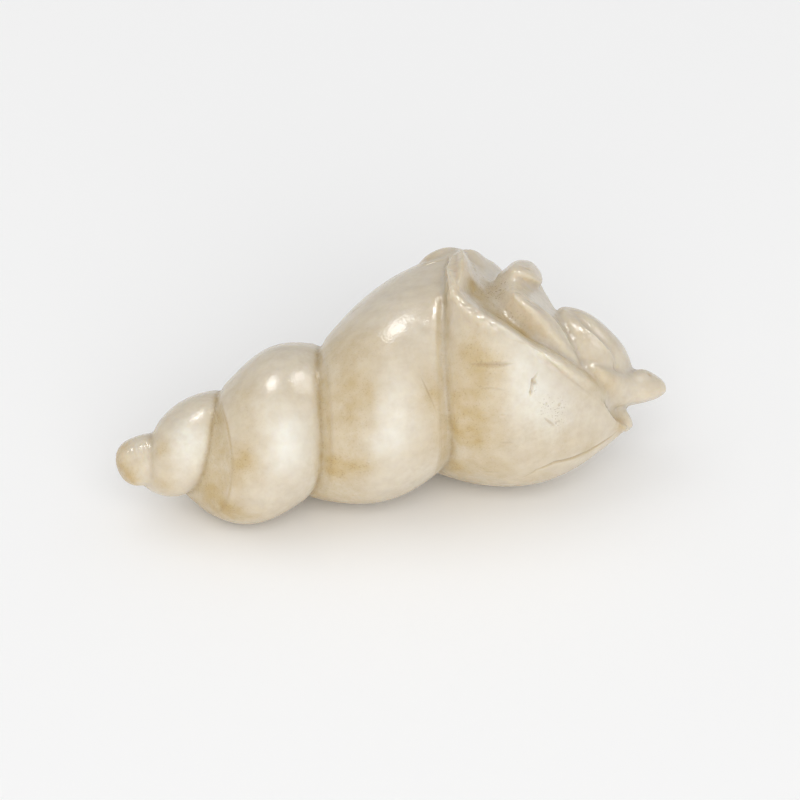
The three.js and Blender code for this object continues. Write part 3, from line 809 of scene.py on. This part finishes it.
# Where it is stained honey yellow; the spots at (11.5, 1.5), (12.2, -1.5) and (12.4, -4.0) on the right of
# the fourth whorl are painted shade
stainsAndShade = [
    (-21.9, 0.6, 0.9, 2.0, 1.0), (-21.4, -0.9, 1.0, 1.7, 1.0), (-20.5, 2.8, 1.0, 1.0, 0.5),
    (-17.2, -1.8, 2.4, 1.1, 0.5), (-16.6, 1.5, 3.4, 1.0, 0.5), (-12.9, -3.0, 3.2, 1.3, 0.5),
    (-12.6, -5.2, 3.0, 1.6, 0.6), (-11.3, -6.6, 3.2, 1.6, 0.5), (-9.6, -2.6, 7.3, 2.2, 0.4),
    (-9.4, -7.6, 3.9, 1.6, 0.2), (-8.9, -1.8, 7.7, 1.4, 0.5), (-7.1, 1.0, 8.5, 2.0, 0.25),
    (-7.1, 4.2, 6.8, 2.2, 0.3), (-2.7, 3.0, 8.2, 1.6, 0.15), (-0.6, -5.0, 6.3, 1.5, 0.7),
    (0.6, 2.1, 7.1, 1.2, 0.3), (1.3, -5.5, 7.2, 1.5, 0.6), (2.5, -1.2, 9.2, 2.6, 0.45),
    (3.2, -5.8, 7.8, 1.3, 0.4), (3.7, 2.8, 9.1, 2.6, 0.45), (4.0, 6.6, 6.4, 2.6, 0.35),
    (5.1, 1.2, 10.1, 1.8, 0.25), (7.1, 6.1, 8.7, 2.2, 0.35), (9.5, -5.9, 8.4, 1.8, 0.2),
    (10.9, -1.0, 10.4, 1.4, 0.3), (11.5, 1.5, 10.9, 1.8, 0.25), (12.2, -1.5, 10.4, 1.8, 0.35),
    (12.3, -5.6, 7.9, 1.5, 0.6), (12.4, -4.0, 9.2, 1.8, 0.35), (12.5, -8.2, 3.5, 1.8, 0.7),
    (12.6, -2.6, 9.8, 2.2, 0.25), (14.4, 4.6, 9.6, 1.0, 0.2), (14.6, -6.6, 8.2, 1.8, 0.5),
    (14.9, -4.6, 9.7, 1.8, 0.4), (16.2, 2.9, 11.6, 1.6, 0.25), (16.2, 0.2, 11.8, 2.6, 0.4),
    (16.4, -3.1, 11.1, 2.6, 0.4), (16.5, 13.0, -1.0, 1.5, 0.4), (16.5, 3.3, 12.0, 2.4, 0.15),
    (16.9, -6.6, 9.1, 1.8, 0.3), (16.9, -10.1, 5.8, 2.4, 0.3), (17.8, 1.6, 12.2, 1.4, 0.3),
    (18.7, 0.0, 12.4, 1.4, 0.2), (19.2, 7.8, 6.2, 1.6, 0.45), (19.4, 10.0, 5.7, 1.6, 0.4),
    (20.0, -12.0, 4.0, 2.4, 0.3), (20.0, 9.4, 5.0, 1.6, 0.4), (20.0, 7.6, 5.5, 1.8, 0.3),
    (20.4, 5.4, 9.0, 1.6, 0.5), (21.0, -8.5, 8.4, 2.6, 0.2), (21.0, 5.0, 7.6, 1.8, 0.5),
    (21.6, 9.0, 1.5, 1.6, 0.4), (21.6, 7.6, 3.2, 1.6, 0.5), (21.6, 4.5, 8.8, 1.4, 0.4),
    (22.0, 3.4, 9.6, 1.6, 0.7), (22.7, 2.9, 8.3, 1.5, 0.5), (23.8, 1.4, 9.5, 1.6, 0.6),
    (24.6, -9.6, 6.8, 2.4, 0.3), (25.8, -1.0, 9.5, 1.6, 0.5), (26.9, -10.7, 4.6, 1.2, 0.4),
    (28.0, -3.6, 7.5, 1.8, 0.45), (28.4, 1.5, 5.0, 2.2, 0.25), (30.0, -4.8, 5.6, 1.8, 0.4),
    (30.5, -7.5, 3.7, 0.8, 0.6), (31.0, -9.1, 3.1, 1.2, 0.8),
]
# Where the stain is strongest
brown = [
    (-22.3, 0.3, 1.0, 1.2, 0.7), (-21.5, -1.9, 0.8, 1.1, 0.6), (-12.0, -6.6, 3.0, 1.0, 0.3),
    (31.0, -9.1, 3.1, 0.9, 0.4),
]
# Where the polish is glassy
glassy = [
    (-20.2, 1.8, 2.0, 1.6, 0.8), (-18.6, 2.2, 2.6, 1.2, 0.6), (14.6, 8.6, 8.3, 0.8, 1.0),
    (16.6, 7.6, 10.6, 1.0, 1.0), (16.8, 9.2, 9.0, 1.0, 1.0), (17.2, 10.6, 6.8, 1.0, 1.0),
    (17.4, 6.0, 11.8, 1.0, 1.0), (17.5, 12.0, 4.2, 1.0, 1.0), (18.6, 4.8, 12.4, 1.0, 1.0),
    (19.4, 10.0, 5.7, 1.2, 0.6), (19.6, 3.4, 12.6, 1.0, 0.8), (22.7, 2.9, 8.3, 1.2, 0.6),
    (23.4, 7.5, 5.8, 1.4, 1.0), (24.2, 6.2, 6.6, 1.2, 0.9), (24.5, 2.4, 8.0, 1.2, 0.5),
    (25.4, 9.7, 2.6, 1.2, 0.7), (25.6, 4.4, 6.9, 1.2, 0.8), (26.6, 2.4, 7.0, 1.2, 0.8),
    (30.6, 1.0, 5.0, 1.2, 0.6), (36.0, -4.6, 0.8, 1.4, 0.6),
]

snailPoints = np.array([vert.co for vert in snailMesh.verts])
grooveDirt, grooveLine, grooveYellow = groovePaint(snailPoints)
lineStrength = 0.7
lineSoil = np.maximum(grooveLine * lineStrength, strokeSoil(snailPoints))
paint = {
    # dirt and painted shade: darker the more the carving closes in over a point
    "crevice": crevices(snailMesh),
    "groove": grooveDirt,
    "line": np.clip(lineSoil + softSpots(snailPoints, brown), 0, 1),
    "ground": np.clip(grooveDirt + softSpots(snailPoints, toolMarked), 0, 1),
    "pitted": np.clip(softSpots(snailPoints, pitted), 0, 1),
    "glassy": np.clip(softSpots(snailPoints, glassy), 0, 1),
    "cloud": np.clip(softSpots(snailPoints, cloudsAndSheen), 0, 1),
    # real stains with some painted shade, the yellow beside the grooves, and the underside's colour
    "stain": np.clip(softSpots(snailPoints, stainsAndShade) + grooveYellow + underStain(snailPoints), 0, 1),
}
print("stains and crevices worked out")


def finishPiece(bm, name, attributes):
    bmesh.ops.scale(bm, verts=bm.verts, vec=(mm, mm, mm))
    mesh = bpy.data.meshes.new(name)
    bm.to_mesh(mesh)
    bm.free()
    mesh.polygons.foreach_set("use_smooth", [True] * len(mesh.polygons))
    for label, values in attributes.items():
        mesh.attributes.new(label, "FLOAT", "POINT").data.foreach_set("value", values)
    piece = bpy.data.objects.new(name, mesh)
    bpy.context.scene.collection.objects.link(piece)
    return piece


snail = finishPiece(snailMesh, "carvedSnail", paint)
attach(snail, "root")
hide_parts("snail_carving")


def addNode(tree, kind, settings=None, output=0, **inputs):
    # adds a node, sets its properties and sockets, links what is another node's output, and gives
    # back its own output; a socket is named with _ for a space, or by its number after a _
    node = tree.nodes.new("ShaderNode" + kind)
    for key, value in (settings or {}).items():
        setattr(node, key, value)
    for key, value in inputs.items():
        socket = node.inputs[int(key[1:])] if key[0] == "_" else node.inputs[key.replace("_", " ")]
        if isinstance(value, bpy.types.NodeSocket):
            tree.links.new(value, socket)
        else:
            socket.default_value = value
    return node.outputs[output] if node.outputs else None


# Pale river jade (nephrite), ground with sand and polished to a soft waxy gloss: light goes a few
# mm into it, cloudy white in the thick of it, honey where iron has got in, brown where dirt lies.
# The white also paints a reflection of the front light, and the honey also paints shade in closed-in
# places.
jade = {
    "body": "#d3c8b4",
    "shade": "#cabeaa",  # the greyer veins of the body
    # white of the clouds, also the colour of their painted reflection
    "cloud": "#e4e1d7",
    "honeyAndShade": "#b89d60",
    "dirt": "#7d5c30",
    "glassyRoughness": 0.1,
    "ior": 1.61,
    "scatter": 0.7,
    "scatterColour": (1.0, 0.8, 0.48),  # how far each colour goes, as a share of the reach
    "scatterReach": 2.2,  # mm
    # each pattern is a noise of a size in mm; the span that is used of it becomes a range of values
    "patterns": {
        "growth": {"size": 1.5, "detail": 5, "span": (0.35, 0.68)},  # the flecked growth of the stone
        "drift": {"size": 5.0, "detail": 4, "span": (0.3, 0.7)},  # drifting clouds
        "grain": {"size": 0.45, "detail": 3, "span": (0.3, 0.7)},  # the finest mottling
        "ironAndShade": {"size": 1.5, "detail": 5, "span": (0.3, 0.7), "becomes": (0.6, 1.0)},
        "soil": {"size": 1.5, "detail": 4, "span": (0.3, 0.7), "becomes": (0.4, 0.8)},
        "speck": {"size": 0.17, "detail": 3, "span": (0.56, 0.7)},
        "pinhole": {"size": 0.204, "detail": 2, "span": (0.6, 0.66)},
        "polish": {"size": 0.3, "detail": 3, "span": (0.3, 0.7)},  # hollows that hand polishing left
        "facet": {"size": 0.8, "detail": 1, "span": (0.3, 0.7), "becomes": (0.0, 7.0)},  # ground flats
        "roughness": {"size": 0.45, "detail": 5, "span": (0.25, 0.75), "becomes": (0.13, 0.27)},
    },
    "growthClear": 0.7,  # how cloudy the greyer veins get
    "driftStrength": 0.3,
    # how much dirt and painted shade the closed-in places get
    "creviceDirtAndShade": 0.5,
    "ironAndShadeStrength": 0.9,
    "speckStrength": 0.42,
    "lineDirt": 0.25,
    "pinholeStrength": 0.6,
    "polishDepth": 0.009,  # mm
    "wheelLine": 0.22,  # mm, width of the lines the wheel left
    "wheelLineLength": 4.0,  # mm
    "wheelLineDetail": 2,
    "wheelLineSpan": (0.3, 0.7),
    "wheelLineDepth": 0.05,  # mm
}


def perMetre(size):
    return 1000 / size


def polishedJade(j):
    material = bpy.data.materials.new("polishedNephrite")
    material.use_nodes = True
    tree = material.node_tree
    tree.nodes.clear()
    add = functools.partial(addNode, tree)
    times, larger = {"operation": "MULTIPLY"}, {"operation": "MAXIMUM"}
    plus = {"operation": "ADD", "use_clamp": True}
    colours = {"data_type": "RGBA"}
    colourOut = 2
    tints = ("body", "shade", "cloud", "honeyAndShade", "dirt")
    body, shade, cloud, honeyAndShade, dirt = (toLinear(j[tint]) for tint in tints)

    spot = add("TexCoord", output="Object")
    painted = {label: add("Attribute", {"attribute_name": label}, "Fac") for label in paint}
    pattern = {}
    for label, p in j["patterns"].items():
        speckled = add("TexNoise", None, "Fac", Vector=spot, Scale=perMetre(p["size"]), Detail=p["detail"])
        low, high = p.get("becomes", (0.0, 1.0))
        pattern[label] = add("MapRange", _0=speckled, _1=p["span"][0], _2=p["span"][1], _3=low, _4=high)

    # the stone: body with greyer veins, and clouds that are partly a painted reflection of the front light
    colour = add("Mix", colours, colourOut, _0=pattern["growth"], _6=body, _7=shade)
    clear = add("MapRange", _0=pattern["growth"], _3=1.0, _4=j["growthClear"])
    drift = add("Math", times, _0=pattern["drift"], _1=pattern["grain"])
    cloudyAndSheen = add("Math", plus, _0=add("Math", times, _0=painted["cloud"], _1=clear),
                 _1=add("Math", times, _0=drift, _1=j["driftStrength"]))
    colour = add("Mix", colours, colourOut, _0=cloudyAndSheen, _6=colour, _7=cloud)

    # iron and dirt in stains and grooves, dirt and painted shade in closed-in places, painted shade in some
    # stains, then lines, specks and pinholes
    dirtAndShade = add("Math", plus, _0=add("Math", times, _0=painted["groove"], _1=pattern["soil"]),
                _1=add("Math", times, _0=painted["crevice"], _1=j["creviceDirtAndShade"]))
    ironAndShade = add("Math", larger, _0=add("Math", times, _0=painted["stain"], _1=pattern["ironAndShade"]), _1=dirtAndShade)
    ironAndShade = add("Math", larger, _0=ironAndShade, _1=painted["line"])
    amount = add("Math", times, _0=ironAndShade, _1=j["ironAndShadeStrength"])
    colour = add("Mix", colours, colourOut, _0=amount, _6=colour, _7=honeyAndShade)
    for shape, where, strength in (
        (pattern["speck"], ironAndShade, j["speckStrength"]),
        (painted["line"], 1.0, j["lineDirt"]),
        (pattern["pinhole"], painted["pitted"], j["pinholeStrength"]),
    ):
        amount = add("Math", times, _0=add("Math", times, _0=shape, _1=where), _1=strength)
        colour = add("Mix", colours, colourOut, _0=amount, _6=colour, _7=dirt)

    # the surface: lines of the wheel in the grooves, hollows of the polish, deeper on the glassy rolls
    wheelScale = [perMetre(j["wheelLine"])] + [perMetre(j["wheelLineLength"])] * 2
    wheelSpot = add("VectorMath", times, _0=spot, _1=wheelScale)
    wheel = add("TexNoise", None, "Fac", Vector=wheelSpot, Scale=1.0, Detail=j["wheelLineDetail"])
    wheel = add("MapRange", _0=wheel, _1=j["wheelLineSpan"][0], _2=j["wheelLineSpan"][1])
    wheel = add("Math", times, _0=wheel, _1=painted["ground"])
    facets = add("Math", times, _0=pattern["facet"], _1=painted["glassy"])
    hollows = add("Math", {"operation": "ADD"}, _0=pattern["polish"], _1=facets)
    lines = add("Bump", Strength=1.0, Distance=j["wheelLineDepth"] * mm, Height=wheel)
    bump = add("Bump", Strength=1.0, Distance=j["polishDepth"] * mm, Height=hollows, Normal=lines)
    roughness = add("Mix", _0=painted["glassy"], _2=pattern["roughness"], _3=j["glassyRoughness"])
    shader = add(
        "BsdfPrincipled",
        {"subsurface_method": "RANDOM_WALK"},
        Base_Color=colour,
        Roughness=roughness,
        IOR=j["ior"],
        Subsurface_Weight=j["scatter"],
        Subsurface_Radius=j["scatterColour"],
        Subsurface_Scale=j["scatterReach"] * mm,
        Normal=bump,
    )
    add("OutputMaterial", Surface=shader)
    return material


snail.data.materials.append(polishedJade(jade))
print("jade finished")

# Studio, in metres and watts: pale floor and even light all round. A light that isn't diffuse only
# makes highlights, and one that isn't glossy only lights the stone and makes none.
studio = {
    "floorSize": 3.0,
    "floorColour": "#f9f9f9",
    "floorRoughness": 0.9,
    "skyColour": "#ffffff",
    "skyStrength": 0.57,
    "lights": [
        {"name": "overhead", "at": (-0.07, 0.25, 0.66), "size": 0.19, "power": 1.2, "diffuse": False},
        {"name": "right", "at": (0.45, 0.08, 0.52), "size": 0.3, "power": 0.7, "diffuse": False},
        {
            "name": "spark", "at": (0.043, 0.027, 0.1), "aim": (0.012, -0.003, 0.022), "size": 0.022,
            "spread": 28, "power": 0.0009, "diffuse": False,  # spread in degrees
        },
        {"name": "top", "at": (-0.45, 0.15, 1.1), "size": 1.0, "power": 2.0, "glossy": False},
        {"name": "front", "at": (0.05, -0.8, 0.25), "size": 0.6, "power": 0.6},
        {"name": "fill", "at": (-0.3, -1.5, 1.05), "size": 1.8, "power": 20.5, "glossy": False},
    ],
}


def makeStudio(s):
    bm = bmesh.new()
    bmesh.ops.create_grid(bm, x_segments=1, y_segments=1, size=s["floorSize"] / 2)
    mesh = bpy.data.meshes.new("floor")
    bm.to_mesh(mesh)
    bm.free()
    floor = bpy.data.objects.new("floor", mesh)
    bpy.context.scene.collection.objects.link(floor)
    paper = bpy.data.materials.new("mattPaper")
    paper.use_nodes = True
    shader = paper.node_tree.nodes["Principled BSDF"]
    shader.inputs["Base Color"].default_value = toLinear(s["floorColour"])
    shader.inputs["Roughness"].default_value = s["floorRoughness"]
    floor.data.materials.append(paper)
    world = bpy.data.worlds.new("studio")
    world.use_nodes = True
    background = world.node_tree.nodes["Background"]
    background.inputs["Color"].default_value = toLinear(s["skyColour"])
    background.inputs["Strength"].default_value = s["skyStrength"]
    bpy.context.scene.world = world
    for light in s["lights"]:
        data = bpy.data.lights.new(light["name"], "AREA")
        data.size = light["size"]
        data.energy = light["power"]
        data.spread = math.radians(light.get("spread", 180))
        lamp = bpy.data.objects.new(light["name"], data)
        lamp.location = light["at"]
        lamp.visible_glossy = light.get("glossy", True)
        lamp.visible_diffuse = light.get("diffuse", True)
        back = Vector(light["at"]) - Vector(light.get("aim", (0, 0, 0)))
        lamp.rotation_euler = back.to_track_quat("Z", "Y").to_euler()
        bpy.context.scene.collection.objects.link(lamp)
    bpy.context.scene.view_settings.view_transform = "Standard"


makeStudio(studio)
